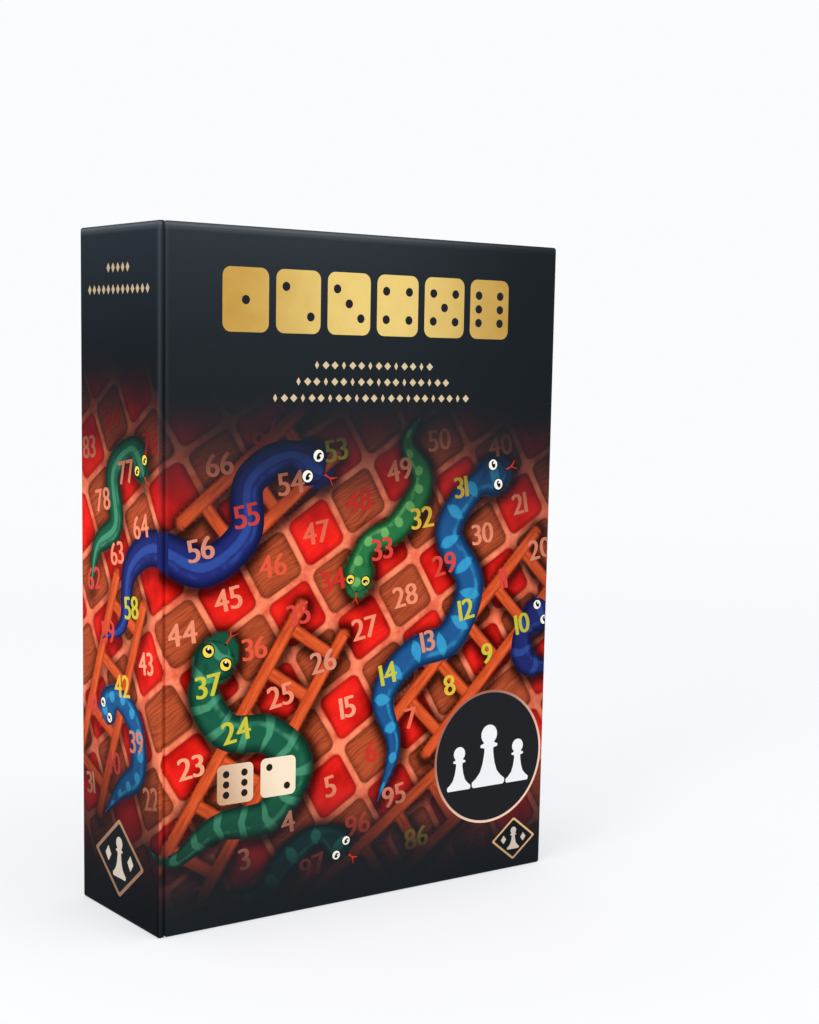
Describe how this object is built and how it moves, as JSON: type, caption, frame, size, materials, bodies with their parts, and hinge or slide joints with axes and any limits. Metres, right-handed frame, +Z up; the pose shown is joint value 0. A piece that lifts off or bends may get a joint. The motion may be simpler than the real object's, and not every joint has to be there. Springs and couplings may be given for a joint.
{
  "type": "snakes and ladders game box",
  "caption": "Upright book-style rigid box with a hinged magnetic cover, a formed insert, a folding board, turned pawns and a die.",
  "frame": {"origin": "under the middle of the closed box, on the surface it stands on", "axes": "+Z up, -Y out of the front cover, +X from the spine to the fore-edge"},
  "size_m": [0.19, 0.0654, 0.27],
  "materials": {
    "greyboard": "matte",
    "cover_paper": "soft-touch laminate",
    "lining_paper": "matte",
    "magnet": "nickel plated",
    "formed_sheet": "vacuum formed",
    "booklet_paper": "uncoated",
    "staple_wire": "bright",
    "board_print": "laminated print",
    "red_wood": "stained and lacquered",
    "blue_wood": "stained and lacquered",
    "green_wood": "stained and lacquered",
    "yellow_wood": "stained and lacquered",
    "plain_wood": "lacquered"
  },
  "bodies": {
    "case": {"hinge_paper": "cover_paper", "spine_board": "greyboard", "back_board": "greyboard", "case_wrap": "cover_paper", "tray_floor": "greyboard", "tray_wall_top": "greyboard", "tray_wall_bottom": "greyboard", "tray_wall_spine_side": "greyboard", "tray_wall_fore_edge": "greyboard", "tray_magnets": "magnet", "tray_wrap": "lining_paper", "insert": "formed_sheet"},
    "cover": {"cover_board": "greyboard", "cover_wrap": "cover_paper", "cover_liner": "lining_paper", "cover_magnets": "magnet"},
    "booklet": {"rules_booklet": "booklet_paper", "booklet_staples": "staple_wire"},
    "lower_leaf": {"lower_leaf_board": "greyboard", "lower_leaf_wrap": "lining_paper", "lower_leaf_print": "board_print"},
    "upper_leaf": {"upper_leaf_board": "greyboard", "upper_leaf_wrap": "lining_paper", "upper_leaf_print": "board_print"},
    "red_pawn": {"pawn_red": "red_wood"},
    "blue_pawn": {"pawn_blue": "blue_wood"},
    "green_pawn": {"pawn_green": "green_wood"},
    "yellow_pawn": {"pawn_yellow": "yellow_wood"},
    "wooden_die": {"die": "plain_wood"}
  },
  "joints": [
    {"name": "cover_hinge", "type": "hinge", "parent": "case", "child": "cover", "pos_m": [-0.0926, -0.0329, 0.135], "axis": [0, 0, -1], "range_deg": [0, 180]},
    {"name": "board_lift", "type": "slide", "parent": "case", "child": "lower_leaf", "axis": [0, -1, 0], "range_m": [0, 0.0201]},
    {"name": "leaf_fold", "type": "hinge", "parent": "lower_leaf", "child": "upper_leaf", "pos_m": [-0.0846, -0.0218, 0.135], "axis": [0, 0, -1], "range_deg": [0, 180.5]},
    {"name": "booklet_lift", "type": "slide", "parent": "case", "child": "booklet", "axis": [0, -1, 0], "range_m": [0, 0.0141]},
    {"name": "red_pawn_lift", "type": "slide", "parent": "case", "child": "red_pawn", "axis": [0, -1, 0], "range_m": [0, 0.0501]},
    {"name": "blue_pawn_lift", "type": "slide", "parent": "case", "child": "blue_pawn", "axis": [0, -1, 0], "range_m": [0, 0.0501]},
    {"name": "green_pawn_lift", "type": "slide", "parent": "case", "child": "green_pawn", "axis": [0, -1, 0], "range_m": [0, 0.0501]},
    {"name": "yellow_pawn_lift", "type": "slide", "parent": "case", "child": "yellow_pawn", "axis": [0, -1, 0], "range_m": [0, 0.0501]},
    {"name": "die_lift", "type": "slide", "parent": "case", "child": "wooden_die", "axis": [0, -1, 0], "range_m": [0, 0.0501]}
  ],
  "couplings": [
    {"joint": "board_lift", "follows": "cover_hinge", "m_per_rad": 0.0063662},
    {"joint": "leaf_fold", "follows": "cover_hinge", "ratio": 1},
    {"joint": "booklet_lift", "follows": "cover_hinge", "m_per_rad": 0.0044563},
    {"joint": "red_pawn_lift", "follows": "cover_hinge", "m_per_rad": 0.015915},
    {"joint": "blue_pawn_lift", "follows": "cover_hinge", "m_per_rad": 0.015915},
    {"joint": "green_pawn_lift", "follows": "cover_hinge", "m_per_rad": 0.015915},
    {"joint": "yellow_pawn_lift", "follows": "cover_hinge", "m_per_rad": 0.015915},
    {"joint": "die_lift", "follows": "cover_hinge", "m_per_rad": 0.015915}
  ]
}
